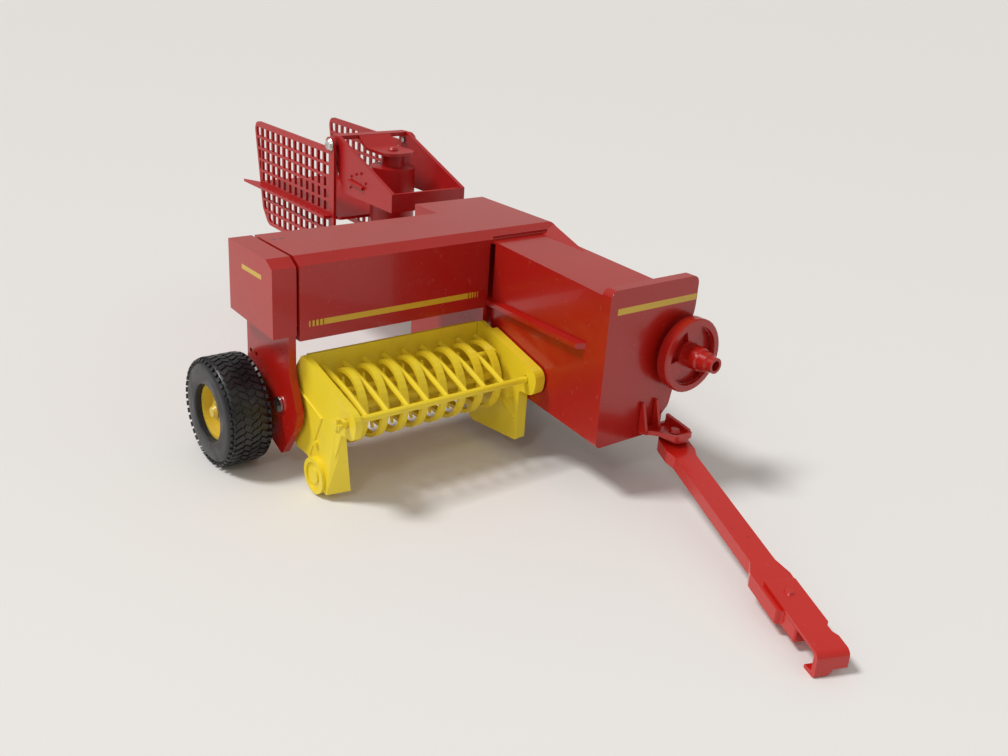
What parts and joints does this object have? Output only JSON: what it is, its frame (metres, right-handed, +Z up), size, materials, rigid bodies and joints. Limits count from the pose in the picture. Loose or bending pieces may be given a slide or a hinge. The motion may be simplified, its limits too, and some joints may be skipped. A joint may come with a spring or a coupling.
{
  "type": "toy_square_baler",
  "caption": "Die-cast toy square baler, 1:16, with yellow pickup, turning wheels and flywheel, swinging drawbar and a bale thrower",
  "frame": {"origin": "middle of the toy's footprint, on the table", "axes": "X forward along the direction of travel, Y left, Z up"},
  "size_m": [0.4536, 0.1902, 0.1183],
  "materials": {
    "red_paint": "glossy red enamel on die-cast metal",
    "red_plastic": "satin moulded red plastic",
    "yellow_plastic": "satin moulded yellow plastic",
    "yellow_rim": "satin moulded yellow plastic, a little dusty",
    "tyre_rubber": "soft black tyre with worn tread",
    "bright_steel": "bright plated steel"
  },
  "bodies": {
    "body": {"bale_case": "red_paint", "feeder_end_frame": "red_paint", "front_panel": "red_paint", "bale_chamber": "red_paint", "drawbar_bracket": "red_paint", "axle": "bright_steel", "flywheel_pin": "bright_steel", "drawbar_pin": "bright_steel", "thrower_drum": "red_plastic", "thrower_rivet": "red_plastic", "pickup_rivet_left": "bright_steel", "pickup_rivet_right": "bright_steel"},
    "wheel_right": {"right_tyre": "tyre_rubber", "right_rim": "yellow_rim"},
    "wheel_left": {"left_tyre": "tyre_rubber", "left_rim": "yellow_rim"},
    "flywheel_wheel": {"flywheel": "red_paint"},
    "drawbar_arm": {"drawbar": "red_paint", "hitch_hook": "red_paint"},
    "pickup": {"pickup_outer_plate": "yellow_plastic", "pickup_inner_plate": "yellow_plastic", "pickup_rear_pan": "yellow_plastic", "windguard": "yellow_plastic", "stripper_1": "yellow_plastic", "stripper_2": "yellow_plastic", "stripper_3": "yellow_plastic", "stripper_4": "yellow_plastic", "stripper_5": "yellow_plastic", "stripper_6": "yellow_plastic", "stripper_7": "yellow_plastic", "stripper_8": "yellow_plastic"},
    "reel": {"pickup_reel": "yellow_plastic"},
    "thrower": {"thrower_frame": "red_plastic", "guard_bolt_right": "bright_steel", "guard_bolt_left": "bright_steel"},
    "guard": {"guard_right": "red_plastic", "guard_left": "red_plastic", "guard_deck": "red_plastic"}
  },
  "joints": [
    {"name": "wheel_right_spin", "type": "hinge", "parent": "body", "child": "wheel_right", "pos_m": [-0.0218, -0.085, 0.0244], "axis": [0, 1, 0], "continuous": true},
    {"name": "wheel_left_spin", "type": "hinge", "parent": "body", "child": "wheel_left", "pos_m": [-0.0218, 0.085, 0.0244], "axis": [0, 1, 0], "continuous": true},
    {"name": "flywheel_spin", "type": "hinge", "parent": "body", "child": "flywheel_wheel", "pos_m": [0.0962, 0.0743, 0.0613], "axis": [1, 0, 0], "continuous": true},
    {"name": "drawbar_swing", "type": "hinge", "parent": "body", "child": "drawbar_arm", "pos_m": [0.1007, 0.0676, 0.018], "axis": [0, 0, 1], "range_deg": [-8, 30]},
    {"name": "pickup_lift", "type": "hinge", "parent": "body", "child": "pickup", "pos_m": [0.0007, -0.0189, 0.0325], "axis": [0, -1, 0], "range_deg": [0, 12]},
    {"name": "reel_spin", "type": "hinge", "parent": "pickup", "child": "reel", "pos_m": [0.0237, -0.0189, 0.0368], "axis": [0, 1, 0], "continuous": true},
    {"name": "thrower_swivel", "type": "hinge", "parent": "body", "child": "thrower", "pos_m": [-0.1058, 0.0505, 0.105], "axis": [0, 0, 1], "range_deg": [-25, 25]},
    {"name": "guard_tilt", "type": "hinge", "parent": "thrower", "child": "guard", "pos_m": [-0.1278, 0.0505, 0.1134], "axis": [0, 1, 0], "range_deg": [0, 20]}
  ]
}
